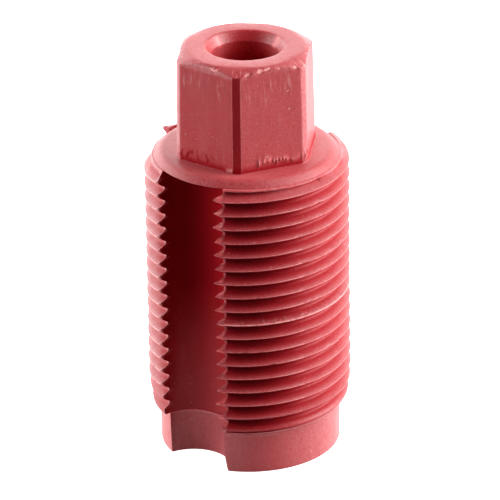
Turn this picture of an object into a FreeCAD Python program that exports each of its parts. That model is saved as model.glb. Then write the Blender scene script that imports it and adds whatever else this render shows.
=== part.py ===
import FreeCAD, Part
import math
import os

# A screw-in pneumatic muffler of moulded plastic with an M14 x 1 thread.
#
# Frame: millimetres, +Z up along the axis, origin at the centre of the nose's end face. An azimuth is
# counted from -Y towards +X. The two air flutes face -Y and +Y.
#
# On a bench it comes apart into a hex cap and a nose ring, each pressed into the threaded body and keyed
# to it with two dowels, and a silencing pack: inlet screen, perforated core tube, porous sleeve, crown
# plug, and a felt and a screen that a retaining ring holds inside the cap.

# ---- Driving dimensions ----
OVERALL_HEIGHT = 28.9
NOSE_HEIGHT = 3.0
COLLAR_BASE_Z = 21.1
COLLAR_TOP_Z = 21.6

# thread
THREAD_DIAMETER = 13.9
THREAD_PITCH = 1.0
ROOT_DIAMETER = 12.64
CREST_FLAT = 0.04
FLANK_ANGLE = 30.0
THREAD_END_Z = 21.06
THREAD_END_AZIMUTH = 274.0
TOP_LAND_AZIMUTH = 270.0
LAND_HALF_ANGLE = 75.0
LEAD_IN_HEIGHT = 2.0
LEAD_IN_RADIUS = 6.68
BODY_LAND_DIAMETER = 12.8
BODY_LAND_HEIGHT = 0.12

# flutes
FLUTE_RADIUS = 2.71
FLUTE_CENTRE_RADIUS = 6.53
NOSE_FLUTE_RADIUS = 2.65

# hex cap
HEX_ACROSS_FLATS = 8.86
HEX_ACROSS_CORNERS = 9.93
HEX_DRAFT = 0.95
HEX_TOP_CIRCLE = 8.16
HEX_CHAMFER_ANGLE = 30.0
HEX_FOOT_FILLET = 0.25
COLLAR_DIAMETER = 12.58
COLLAR_BEVEL = 0.43
OUTLET_DIAMETER = 4.5
COUNTERSINK_DIAMETER = 5.36
COUNTERSINK_DEPTH = 0.62
OUTLET_FLOOR_Z = 22.6
SHOULDER_HEIGHT = 0.6
SHOULDER_DIAMETER = 3.4
CAP_NECK_BASE_Z = 18.4
CAP_POCKET_DIAMETER = 4.9

# chamber, nose and inlet
CHAMBER_DIAMETER = 6.2
NOSE_DIAMETER = 12.34
NOSE_HUB_TOP_Z = 6.0
INLET_DIAMETER = 3.4
INLET_CHAMFER = 0.4
INLET_POCKET_DIAMETER = 4.6

# silencing pack
INLET_SCREEN_THICKNESS = 0.3
TUBE_FLANGE_THICKNESS = 0.4
TUBE_DIAMETER = 3.0
TUBE_WALL = 0.4
TUBE_TOP_Z = 16.0
TUBE_HOLE_DIAMETER = 0.7
TUBE_HOLE_ROWS = 6
TUBE_HOLES_AROUND = 4
TUBE_FIRST_HOLE_Z = 7.2
TUBE_HOLE_STEP = 1.4
SLEEVE_DIAMETER = 5.4
CROWN_DISC_THICKNESS = 0.6
CROWN_DIAMETER = 6.1
CROWN_WALL = 0.6
CROWN_PLUG_LENGTH = 1.2
CROWN_WINDOWS = 4
CROWN_WINDOW_WIDTH = 2.2
OUTLET_SCREEN_THICKNESS = 0.4
FELT_THICKNESS = 1.9
RING_SECTION = 0.5
RING_GROOVE_DEPTH = 0.2
RING_GAP = 1.2
SCREEN_HOLE_DIAMETER = 0.5
SCREEN_RING_RADII = (0.8, 1.45)
SCREEN_RING_COUNTS = (6, 11)

# dowels
DOWEL_DIAMETER = 0.8
CAP_DOWEL_RADIUS = 4.1
CAP_DOWEL_Z = (19.1, 23.1)
NOSE_DOWEL_RADIUS = 4.7
NOSE_DOWEL_Z = (1.6, 4.6)
DOWEL_AZIMUTHS = (90.0, 270.0)

# construction allowances
CUT_MARGIN = 1.0
RIDGE_SINK = 0.1
COLLAR_GAP = 0.02

THREAD_RADIUS = THREAD_DIAMETER / 2.0
ROOT_RADIUS = ROOT_DIAMETER / 2.0
CHAMBER_RADIUS = CHAMBER_DIAMETER / 2.0
POCKET_RADIUS = CAP_POCKET_DIAMETER / 2.0
UP = FreeCAD.Vector(0, 0, 1)


def cylinder(radius, z_low, z_high, x=0.0, y=0.0):
    return Part.makeCylinder(radius, z_high - z_low, FreeCAD.Vector(x, y, z_low), UP)


def ring(outer_radius, inner_radius, z_low, z_high):
    inner = cylinder(inner_radius, z_low - CUT_MARGIN, z_high + CUT_MARGIN)
    return cylinder(outer_radius, z_low, z_high).cut(inner)


def turned(outline):
    """A solid of revolution from (radius, z) corners."""
    corners = [FreeCAD.Vector(radius, 0, z) for radius, z in outline]
    face = Part.Face(Part.makePolygon(corners + corners[:1]))
    return face.revolve(FreeCAD.Vector(0, 0, 0), UP, 360)


def at_azimuth(radius, azimuth):
    """The x and y of a place at this radius, the azimuth counted from -Y towards +X."""
    angle = math.radians(azimuth)
    return radius * math.sin(angle), -radius * math.cos(angle)


def fused(shapes):
    whole = shapes[0].multiFuse(shapes[1:])
    return whole.removeSplitter()


def flutes(radius, z_low, z_high):
    """The two round channels that run along the casing, on opposite sides."""
    channels = []
    for azimuth in (0.0, 180.0):
        x, y = at_azimuth(FLUTE_CENTRE_RADIUS, azimuth)
        channels.append(cylinder(radius, z_low, z_high, x, y))
    return channels


def dowel_set(placing_radius, z_span, radius):
    pins = []
    for azimuth in DOWEL_AZIMUTHS:
        x, y = at_azimuth(placing_radius, azimuth)
        pins.append(cylinder(radius, z_span[0], z_span[1], x, y))
    return pins


def crest_height(azimuth):
    """The height of the top turn's crest, which sinks by one pitch for each turn back down."""
    return THREAD_END_Z - THREAD_PITCH * (THREAD_END_AZIMUTH - azimuth) / 360.0


def ridge_piece(azimuth_from, azimuth_to):
    """A stretch of the sharp right-handed V ridge, from one azimuth up to the next."""
    base_radius = ROOT_RADIUS - RIDGE_SINK
    base_half = (THREAD_RADIUS - base_radius) * math.tan(math.radians(FLANK_ANGLE)) + CREST_FLAT / 2.0
    rise = THREAD_PITCH * (azimuth_to - azimuth_from) / 360.0
    helix = Part.makeHelix(THREAD_PITCH, rise, base_radius)
    section = Part.makePolygon([
        FreeCAD.Vector(base_radius, 0, -base_half),
        FreeCAD.Vector(THREAD_RADIUS, 0, -CREST_FLAT / 2.0),
        FreeCAD.Vector(THREAD_RADIUS, 0, CREST_FLAT / 2.0),
        FreeCAD.Vector(base_radius, 0, base_half),
        FreeCAD.Vector(base_radius, 0, -base_half),
    ])
    piece = Part.Wire(helix).makePipeShell([section], True, True)
    # a helix starts on +X, which is azimuth 90
    piece.rotate(FreeCAD.Vector(0, 0, 0), UP, azimuth_from - 90.0)
    piece.translate(FreeCAD.Vector(0, 0, crest_height(azimuth_from)))
    return piece


def thread_pieces():
    """The ridge on each land between the flutes, from the abrupt top end down to the nose."""
    pieces = []
    room = thread_room()
    azimuth = TOP_LAND_AZIMUTH
    while crest_height(azimuth) > NOSE_HEIGHT - THREAD_PITCH:
        last = min(azimuth + LAND_HALF_ANGLE, THREAD_END_AZIMUTH)
        piece = ridge_piece(azimuth - LAND_HALF_ANGLE, last).common(room)
        pieces += piece.Solids
        azimuth -= 180.0
    return pieces


def thread_room():
    """The space the ridge may fill: a lead-in cone at the nose end, and clear of the cap's collar."""
    top = THREAD_END_Z + THREAD_PITCH
    inner = BODY_LAND_DIAMETER / 2.0 - CUT_MARGIN
    collar_clear = COLLAR_DIAMETER / 2.0 + COLLAR_GAP
    return turned([
        (inner, NOSE_HEIGHT),
        (LEAD_IN_RADIUS, NOSE_HEIGHT),
        (THREAD_RADIUS + COLLAR_GAP, NOSE_HEIGHT + LEAD_IN_HEIGHT),
        (THREAD_RADIUS + COLLAR_GAP, top),
        (collar_clear, top),
        (collar_clear, COLLAR_BASE_Z),
        (inner, COLLAR_BASE_Z),
    ])


def threaded_body():
    """The casing's middle: external thread, two flutes and the chamber for the silencing pack."""
    land_radius = BODY_LAND_DIAMETER / 2.0
    land_base = COLLAR_BASE_Z - BODY_LAND_HEIGHT
    core = turned([
        (CHAMBER_RADIUS, NOSE_HEIGHT),
        (ROOT_RADIUS, NOSE_HEIGHT),
        (ROOT_RADIUS, land_base - (land_radius - ROOT_RADIUS)),
        (land_radius, land_base),
        (land_radius, COLLAR_BASE_Z),
        (CHAMBER_RADIUS, COLLAR_BASE_Z),
    ])
    body = core.multiFuse(thread_pieces())
    cuts = flutes(FLUTE_RADIUS, NOSE_HEIGHT - CUT_MARGIN, COLLAR_TOP_Z + CUT_MARGIN)
    cuts += dowel_set(CAP_DOWEL_RADIUS, CAP_DOWEL_Z, DOWEL_DIAMETER / 2.0)
    cuts += dowel_set(NOSE_DOWEL_RADIUS, NOSE_DOWEL_Z, DOWEL_DIAMETER / 2.0)
    for cut in cuts:
        body = body.cut(cut)
    return body


def hex_prism():
    """The spanner hexagon with moulding draft, its corners turned down to a cone."""
    height = OVERALL_HEIGHT - COLLAR_TOP_Z
    shrink = height * math.tan(math.radians(HEX_DRAFT))
    sections = []
    for z, inset in ((COLLAR_TOP_Z, 0.0), (OVERALL_HEIGHT, shrink)):
        corner = (HEX_ACROSS_FLATS / 2.0 - inset) / math.cos(math.radians(30.0))
        points = []
        for step in range(7):
            x, y = at_azimuth(corner, 30.0 + 60.0 * step)
            points.append(FreeCAD.Vector(x, y, z))
        sections.append(Part.makePolygon(points))
    prism = Part.makeLoft(sections, True, True)
    corner_radius = HEX_ACROSS_CORNERS / 2.0
    top_radius = HEX_TOP_CIRCLE / 2.0
    top_corner = corner_radius - shrink
    chamfer_drop = (top_corner - top_radius) * math.tan(math.radians(HEX_CHAMFER_ANGLE))
    envelope = turned([
        (0.0, COLLAR_TOP_Z),
        (corner_radius, COLLAR_TOP_Z),
        (top_corner, OVERALL_HEIGHT - chamfer_drop),
        (top_radius, OVERALL_HEIGHT),
        (0.0, OVERALL_HEIGHT),
    ])
    return prism.common(envelope)


def foot_edges(shape):
    """The edges where the hexagon stands on the collar's flat top."""
    reach = COLLAR_DIAMETER / 2.0 - COLLAR_BEVEL - HEX_FOOT_FILLET
    found = []
    for edge in shape.Edges:
        points = [vertex.Point for vertex in edge.Vertexes]
        level = all(abs(point.z - COLLAR_TOP_Z) < 1e-4 for point in points)
        inside = all(math.hypot(point.x, point.y) < reach for point in points)
        if level and inside:
            found.append(edge)
    return found


def hex_cap():
    """The hex head, its collar and the neck that presses into the chamber, bored for the outlet."""
    collar_radius = COLLAR_DIAMETER / 2.0
    base = turned([
        (0.0, CAP_NECK_BASE_Z),
        (CHAMBER_RADIUS, CAP_NECK_BASE_Z),
        (CHAMBER_RADIUS, COLLAR_BASE_Z),
        (collar_radius, COLLAR_BASE_Z),
        (collar_radius, COLLAR_TOP_Z - COLLAR_BEVEL),
        (collar_radius - COLLAR_BEVEL, COLLAR_TOP_Z),
        (0.0, COLLAR_TOP_Z),
    ])
    shoulder_base = OUTLET_FLOOR_Z - SHOULDER_HEIGHT
    outlet_radius = OUTLET_DIAMETER / 2.0
    groove_top = shoulder_base - OUTLET_SCREEN_THICKNESS - FELT_THICKNESS
    groove_radius = POCKET_RADIUS + RING_GROOVE_DEPTH
    passage = turned([
        (0.0, CAP_NECK_BASE_Z - CUT_MARGIN),
        (POCKET_RADIUS, CAP_NECK_BASE_Z - CUT_MARGIN),
        (POCKET_RADIUS, groove_top - RING_SECTION),
        (groove_radius, groove_top - RING_SECTION),
        (groove_radius, groove_top),
        (POCKET_RADIUS, groove_top),
        (POCKET_RADIUS, shoulder_base),
        (SHOULDER_DIAMETER / 2.0, shoulder_base),
        (SHOULDER_DIAMETER / 2.0, OUTLET_FLOOR_Z),
        (outlet_radius, OUTLET_FLOOR_Z),
        (outlet_radius, OVERALL_HEIGHT - COUNTERSINK_DEPTH),
        (COUNTERSINK_DIAMETER / 2.0, OVERALL_HEIGHT),
        (COUNTERSINK_DIAMETER / 2.0, OVERALL_HEIGHT + CUT_MARGIN),
        (0.0, OVERALL_HEIGHT + CUT_MARGIN),
    ])
    head = fused([base, hex_prism()])
    cap = head.makeFillet(HEX_FOOT_FILLET, foot_edges(head)).cut(passage)
    for hole in dowel_set(CAP_DOWEL_RADIUS, CAP_DOWEL_Z, DOWEL_DIAMETER / 2.0):
        cap = cap.cut(hole)
    return cap


def nose_ring():
    """The plain fluted end piece with the inlet, and the hub that presses into the chamber."""
    nose_radius = NOSE_DIAMETER / 2.0
    inlet_radius = INLET_DIAMETER / 2.0
    pocket_radius = INLET_POCKET_DIAMETER / 2.0
    pocket_floor = NOSE_HUB_TOP_Z - TUBE_FLANGE_THICKNESS - INLET_SCREEN_THICKNESS
    nose = turned([
        (inlet_radius + INLET_CHAMFER, 0.0),
        (nose_radius, 0.0),
        (nose_radius, NOSE_HEIGHT),
        (CHAMBER_RADIUS, NOSE_HEIGHT),
        (CHAMBER_RADIUS, NOSE_HUB_TOP_Z),
        (pocket_radius, NOSE_HUB_TOP_Z),
        (pocket_radius, pocket_floor),
        (inlet_radius, pocket_floor),
        (inlet_radius, INLET_CHAMFER),
    ])
    cuts = flutes(NOSE_FLUTE_RADIUS, -CUT_MARGIN, NOSE_HEIGHT + CUT_MARGIN)
    cuts += dowel_set(NOSE_DOWEL_RADIUS, NOSE_DOWEL_Z, DOWEL_DIAMETER / 2.0)
    for cut in cuts:
        nose = nose.cut(cut)
    return nose


def screen(outer_radius, z_low, thickness):
    """A flat perforated disc: one hole in the middle and two rings of holes round it."""
    disc = cylinder(outer_radius, z_low, z_low + thickness)
    hole_radius = SCREEN_HOLE_DIAMETER / 2.0
    z_from = z_low - CUT_MARGIN
    z_to = z_low + thickness + CUT_MARGIN
    holes = [cylinder(hole_radius, z_from, z_to)]
    for ring_radius, count in zip(SCREEN_RING_RADII, SCREEN_RING_COUNTS):
        for index in range(count):
            x, y = at_azimuth(ring_radius, 360.0 * index / count)
            holes.append(cylinder(hole_radius, z_from, z_to, x, y))
    for hole in holes:
        disc = disc.cut(hole)
    return disc


def inlet_screen():
    z_low = NOSE_HUB_TOP_Z - TUBE_FLANGE_THICKNESS - INLET_SCREEN_THICKNESS
    return screen(INLET_POCKET_DIAMETER / 2.0, z_low, INLET_SCREEN_THICKNESS)


def core_tube():
    """The flanged diffuser tube with rows of cross holes, open at the inlet end."""
    tube_radius = TUBE_DIAMETER / 2.0
    bore_radius = tube_radius - TUBE_WALL
    flange_base = NOSE_HUB_TOP_Z - TUBE_FLANGE_THICKNESS
    tube = turned([
        (bore_radius, flange_base),
        (INLET_POCKET_DIAMETER / 2.0, flange_base),
        (INLET_POCKET_DIAMETER / 2.0, NOSE_HUB_TOP_Z),
        (tube_radius, NOSE_HUB_TOP_Z),
        (tube_radius, TUBE_TOP_Z),
        (bore_radius, TUBE_TOP_Z),
    ])
    hole_length = TUBE_DIAMETER + 2.0 * CUT_MARGIN
    for row in range(TUBE_HOLE_ROWS):
        z = TUBE_FIRST_HOLE_Z + row * TUBE_HOLE_STEP
        for index in range(TUBE_HOLES_AROUND // 2):
            turn = 180.0 * index / (TUBE_HOLES_AROUND // 2) + 45.0 * (row % 2)
            x, y = at_azimuth(hole_length / 2.0, turn)
            start = FreeCAD.Vector(-x, -y, z)
            hole = Part.makeCylinder(TUBE_HOLE_DIAMETER / 2.0, hole_length, start, FreeCAD.Vector(x, y, 0))
            tube = tube.cut(hole)
    return tube


def silencing_sleeve():
    """The porous sleeve that the exhaust air seeps through."""
    return ring(SLEEVE_DIAMETER / 2.0, TUBE_DIAMETER / 2.0, NOSE_HUB_TOP_Z, TUBE_TOP_Z)


def crown_slot(depth_radius, z_low, z_high, azimuth):
    """A slot through the crown's rim, as deep as the given radius."""
    corner = FreeCAD.Vector(depth_radius, -CROWN_WINDOW_WIDTH / 2.0, z_low)
    slot = Part.makeBox(CROWN_DIAMETER, CROWN_WINDOW_WIDTH, z_high - z_low, corner)
    slot.rotate(FreeCAD.Vector(0, 0, 0), UP, azimuth)
    return slot


def crown_plug():
    """Closes the core tube and the sleeve, and stands against the cap's neck on posts."""
    outer_radius = CROWN_DIAMETER / 2.0
    disc_top = TUBE_TOP_Z + CROWN_DISC_THICKNESS
    bore_radius = TUBE_DIAMETER / 2.0 - TUBE_WALL
    plug = cylinder(bore_radius, TUBE_TOP_Z - CROWN_PLUG_LENGTH, TUBE_TOP_Z)
    disc = cylinder(outer_radius, TUBE_TOP_Z, disc_top)
    crown = ring(outer_radius, outer_radius - CROWN_WALL, disc_top, CAP_NECK_BASE_Z)
    whole = fused([plug, disc, crown])
    for index in range(CROWN_WINDOWS):
        azimuth = 360.0 * index / CROWN_WINDOWS
        whole = whole.cut(crown_slot(SLEEVE_DIAMETER / 2.0, TUBE_TOP_Z - CUT_MARGIN, disc_top, azimuth))
        whole = whole.cut(crown_slot(0.0, disc_top, CAP_NECK_BASE_Z + CUT_MARGIN, azimuth))
    return whole


def felt_top_z():
    return OUTLET_FLOOR_Z - SHOULDER_HEIGHT - OUTLET_SCREEN_THICKNESS


def outlet_screen():
    return screen(POCKET_RADIUS, felt_top_z(), OUTLET_SCREEN_THICKNESS)


def outlet_felt():
    """The felt pad that quietens the air once more below the outlet screen."""
    return cylinder(POCKET_RADIUS, felt_top_z() - FELT_THICKNESS, felt_top_z())


def retaining_ring():
    """The split snap ring that holds felt and screen up against the cap's shoulder."""
    ring_top = felt_top_z() - FELT_THICKNESS
    outer_radius = POCKET_RADIUS + RING_GROOVE_DEPTH
    whole = ring(outer_radius, outer_radius - RING_SECTION, ring_top - RING_SECTION, ring_top)
    gap_corner = FreeCAD.Vector(0, -RING_GAP / 2.0, ring_top - RING_SECTION - CUT_MARGIN)
    gap = Part.makeBox(outer_radius + CUT_MARGIN, RING_GAP, RING_SECTION + 2.0 * CUT_MARGIN, gap_corner)
    return whole.cut(gap)


def cap_dowels():
    return Part.makeCompound(dowel_set(CAP_DOWEL_RADIUS, CAP_DOWEL_Z, DOWEL_DIAMETER / 2.0))


def nose_dowels():
    return Part.makeCompound(dowel_set(NOSE_DOWEL_RADIUS, NOSE_DOWEL_Z, DOWEL_DIAMETER / 2.0))


SUB_PARTS = (
    threaded_body,
    hex_cap,
    nose_ring,
    inlet_screen,
    core_tube,
    silencing_sleeve,
    crown_plug,
    outlet_felt,
    outlet_screen,
    retaining_ring,
    cap_dowels,
    nose_dowels,
)


def main():
    os.makedirs("parts", exist_ok=True)
    for make in SUB_PARTS:
        shape = make()
        print(make.__name__, "valid", shape.isValid(), "solids", len(shape.Solids), "mm3", round(shape.Volume, 3))
        shape.exportStep(f"parts/{make.__name__}.step")


main()
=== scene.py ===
import math

import bmesh
import bpy
import numpy as np
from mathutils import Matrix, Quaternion, Vector, noise


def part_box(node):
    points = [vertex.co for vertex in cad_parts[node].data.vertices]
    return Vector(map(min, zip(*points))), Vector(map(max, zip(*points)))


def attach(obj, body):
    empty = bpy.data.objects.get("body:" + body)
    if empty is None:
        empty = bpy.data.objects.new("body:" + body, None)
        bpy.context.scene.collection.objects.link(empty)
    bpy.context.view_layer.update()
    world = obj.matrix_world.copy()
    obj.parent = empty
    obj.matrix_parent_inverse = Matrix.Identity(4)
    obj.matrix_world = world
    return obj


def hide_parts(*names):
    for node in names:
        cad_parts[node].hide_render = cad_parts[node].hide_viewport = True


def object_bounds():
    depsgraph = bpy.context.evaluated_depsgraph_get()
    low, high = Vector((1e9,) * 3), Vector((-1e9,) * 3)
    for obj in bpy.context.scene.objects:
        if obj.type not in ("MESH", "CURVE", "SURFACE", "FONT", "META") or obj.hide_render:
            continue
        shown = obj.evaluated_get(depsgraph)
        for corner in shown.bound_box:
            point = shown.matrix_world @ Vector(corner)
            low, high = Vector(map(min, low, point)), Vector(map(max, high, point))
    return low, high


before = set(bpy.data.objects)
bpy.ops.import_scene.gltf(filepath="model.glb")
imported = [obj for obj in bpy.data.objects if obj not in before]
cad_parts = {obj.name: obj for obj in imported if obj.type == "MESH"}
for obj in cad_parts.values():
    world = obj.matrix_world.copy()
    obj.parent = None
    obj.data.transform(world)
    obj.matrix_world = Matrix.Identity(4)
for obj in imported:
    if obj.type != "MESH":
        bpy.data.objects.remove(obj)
cad_low, cad_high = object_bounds()

# The pieces are worked out in millimetres, in the CAD frame, and scaled to metres when their mesh is made.
# An azimuth is counted in degrees from -Y towards +X.
MM = 0.001
rng = np.random.default_rng(14)

# ---- levels and sizes of the casing ----
body_low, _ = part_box("threaded_body")
nose_low, nose_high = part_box("nose_ring")
cap_low, cap_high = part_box("hex_cap")
NOSE_BASE = nose_low[2] / MM
BODY_BASE = body_low[2] / MM
HUB_TOP = nose_high[2] / MM
CAP_BASE = cap_low[2] / MM
TOP = cap_high[2] / MM

# the side of the part that faces the photo's camera
FRONT_AZIMUTH = 37.5

COLLAR_BASE = 21.1
COLLAR_TOP = 21.6
COLLAR_RADIUS = 6.29
COLLAR_BEVEL = 0.47
RIM_GAP = 0.002

CREST_RADIUS = 6.95
SHARP_CREST_RADIUS = CREST_RADIUS + 0.035
ROOT_RADIUS = 6.32
PITCH = 1.0
TOP_LAND_RADIUS = 6.46
TOP_LAND_BASE = 20.98
THREAD_END_AZIMUTH = -86.0
THREAD_END_Z = 21.06
LEAD_IN_RADIUS = 6.68
LEAD_IN_HEIGHT = 2.0

NOSE_RADIUS = 6.17
FLUTE_AZIMUTH = -0.6
FLUTE_CENTRE = 6.50
FLUTE_RADIUS = 2.66
NOSE_FLUTE_RADIUS = 2.60

CHAMBER_RADIUS = 3.1
INLET_RADIUS = 1.7
INLET_MOUTH_RADIUS = 2.1
INLET_MOUTH_DEPTH = 0.4
TUBE_SEAT_RADIUS = 2.3
TUBE_SEAT_BASE = 5.3
DOWEL_RADIUS = 0.4
CAP_DOWEL_OFFSET = 4.1
CAP_DOWEL_BASE = 19.1
CAP_DOWEL_TOP = 23.1
NOSE_DOWEL_OFFSET = 4.7
NOSE_DOWEL_BASE = 1.6
NOSE_DOWEL_TOP = 4.6
SLEEVE_BORE_RADIUS = 1.5

SHARP_ANGLE = 40.0
ROUND_STEPS = 96


# ---- profiles of a value ----
def rise(value, start, over):
    """0 up to the start, then a straight rise to 1."""
    return np.clip((value - start) / over, 0.0, 1.0)


def fall(value, end, over):
    """1 at first, then a straight fall to 0 at the end."""
    return np.clip((end - value) / over, 0.0, 1.0)


def tent(value, centre, width):
    """1 at the centre, with a straight fall to 0 on both sides."""
    return np.clip(1.0 - np.abs(value - centre) / width, 0.0, 1.0)


def hump(value, centre, width):
    """1 at the centre, with a round fall on both sides."""
    return np.exp(-((value - centre) / width) ** 2)


def between(value, low, high):
    return (value > low) & (value < high)


def smooth_max(a, b, k):
    return 0.5 * (a + b + np.sqrt((a - b) ** 2 + k * k))


def smooth_min(a, b, k):
    return 0.5 * (a + b - np.sqrt((a - b) ** 2 + k * k))


# ---- points ----
def polar(radius, azimuth, z):
    """Points from a radius, an azimuth in degrees and a height."""
    a = np.radians(azimuth)
    radius, a, z = np.broadcast_arrays(radius, a, z)
    return np.stack([radius * np.sin(a), -radius * np.cos(a), z], axis=-1)


def around(points):
    """Radius and azimuth of each point."""
    return np.hypot(points[..., 0], points[..., 1]), np.degrees(np.arctan2(points[..., 0], -points[..., 1]))


def rough(points, scale, seed=0.0):
    """Smooth noise between about -1 and 1 at each point, with features of about 1/scale mm."""
    flat = points.reshape(-1, 3) * scale + seed
    return np.array([noise.noise(Vector(p)) for p in flat]).reshape(points.shape[:-1])


def push_out(points, amount):
    """Moves points away from the axis."""
    radius = np.maximum(np.hypot(points[..., 0], points[..., 1]), 1e-6)
    points[..., :2] *= (1.0 + amount / radius)[..., None]
    return points


def circle_points(radius, z, count, centre=(0.0, 0.0)):
    t = np.arange(count) * 360.0 / count
    p = polar(np.full(count, float(radius)), t, np.full(count, float(z)))
    p[:, 0] += centre[0]
    p[:, 1] += centre[1]
    return p


# ---- meshes ----
def add_grid(bm, points):
    """A surface closed round the columns, from points[row, column]. Returns its last row of vertices."""
    rows, columns = points.shape[:2]
    verts = [[bm.verts.new(points[r, c]) for c in range(columns)] for r in range(rows)]
    for r in range(rows - 1):
        for c in range(columns):
            d = (c + 1) % columns
            bm.faces.new((verts[r][c], verts[r][d], verts[r + 1][d], verts[r + 1][c]))
    return verts[-1]


def add_turned(bm, profile):
    """A surface of revolution through (radius, height) pairs."""
    add_grid(bm, np.stack([circle_points(radius, z, ROUND_STEPS) for radius, z in profile]))


def add_dowel_holes(bm, offset, z_open, z_end):
    """Two blind holes, left open at z_open for the flat face to meet."""
    for x in (offset, -offset):
        end = add_grid(bm, np.stack([circle_points(DOWEL_RADIUS, z, 24, (x, 0.0)) for z in (z_open, z_end)]))
        bm.faces.new(end)


def merge(bm, distance=2e-4):
    bmesh.ops.remove_doubles(bm, verts=bm.verts[:], dist=distance)
    bmesh.ops.dissolve_degenerate(bm, dist=distance, edges=bm.edges[:])


def fill_level(bm, z):
    """Fills the flat face at a level between its outline and every hole in it."""
    edges = [e for e in bm.edges if e.is_boundary and all(abs(v.co.z - z) < 1e-4 for v in e.verts)]
    bmesh.ops.triangle_fill(bm, use_beauty=True, use_dissolve=False, edges=edges)


def finish_mesh(name, bm, material, replaced, looks):
    """Makes the object, in metres, shaded smooth between its sharp edges. looks gives each vertex its wear and
    painted highlight, its scuff, and its grime and painted shade."""
    bmesh.ops.recalc_face_normals(bm, faces=bm.faces[:])
    if bm.calc_volume(signed=True) < 0:
        bmesh.ops.reverse_faces(bm, faces=bm.faces[:])
    open_edges = sum(len(e.link_faces) != 2 for e in bm.edges)
    print(name, "faces", len(bm.faces), "open edges", open_edges, "volume mm3", round(bm.calc_volume(), 2))
    mesh = bpy.data.meshes.new(name)
    bm.to_mesh(mesh)
    bm.free()
    co = np.zeros(len(mesh.vertices) * 3, np.float32)
    mesh.vertices.foreach_get("co", co)
    co = co.reshape(-1, 3)
    for label, amount in zip(("wear_and_highlight", "scuff", "grime_and_shade"), looks(co)):
        layer = mesh.attributes.new(label, "FLOAT", "POINT")
        layer.data.foreach_set("value", np.clip(amount, 0.0, 1.0).astype(np.float32))
    mesh.vertices.foreach_set("co", (co * MM).ravel())
    for poly in mesh.polygons:
        poly.use_smooth = True
    mesh.set_sharp_from_angle(angle=math.radians(SHARP_ANGLE))
    mesh.materials.append(material)
    obj = bpy.data.objects.new(name, mesh)
    bpy.context.scene.collection.objects.link(obj)
    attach(obj, "root")
    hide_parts(*replaced)
    return obj


# ---- flutes and lands ----
LAND_COLUMNS = 98
WALL_COLUMNS = 22
LIP_THICKNESS = 0.11
LIP_REACH = 4.0


def lip_half_angle(radius, flute_radius):
    """Half the angle that a flute takes out of a circle of the given radius."""
    cosine = (radius ** 2 + FLUTE_CENTRE ** 2 - flute_radius ** 2) / (2.0 * radius * FLUTE_CENTRE)
    return np.degrees(np.arccos(cosine))


def lip_theta(radius, flute_radius):
    """The flute circle's own angle, from its deepest point, at a lip of the given radius."""
    outward = (radius ** 2 + FLUTE_CENTRE ** 2 - flute_radius ** 2) / (2.0 * FLUTE_CENTRE)
    return np.arccos(np.clip((FLUTE_CENTRE - outward) / flute_radius, -1.0, 1.0))


def flute_point(theta, flute_radius, flute_azimuth, z):
    across = flute_radius * np.sin(theta)
    outward = FLUTE_CENTRE - flute_radius * np.cos(theta)
    radius = np.hypot(across, outward)
    return polar(radius, flute_azimuth + np.degrees(np.arctan2(across, outward)), z)


def flute_distance(points):
    """How far each point is from the nearer flute's own axis."""
    centres = [polar(FLUTE_CENTRE, FLUTE_AZIMUTH + turn, 0.0) for turn in (0.0, 180.0)]
    gaps = [np.hypot(points[:, 0] - centre[0], points[:, 1] - centre[1]) for centre in centres]
    return np.minimum(*gaps)


def land_azimuths(start, end, end_column):
    """The azimuths of a land's columns, and whether each is past the end of the thread's top turn, where two
    columns share one azimuth to make its end face."""
    azimuths = list(np.linspace(start, end, LAND_COLUMNS))
    if not (end_column and start < THREAD_END_AZIMUTH < end):
        return [(azimuth, False) for azimuth in azimuths]
    nearest = int(np.argmin(np.abs(np.array(azimuths) - THREAD_END_AZIMUTH)))
    azimuths[nearest] = THREAD_END_AZIMUTH
    azimuths.insert(nearest + 1, THREAD_END_AZIMUTH)
    return [(azimuth, index > nearest) for index, azimuth in enumerate(azimuths)]


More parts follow.
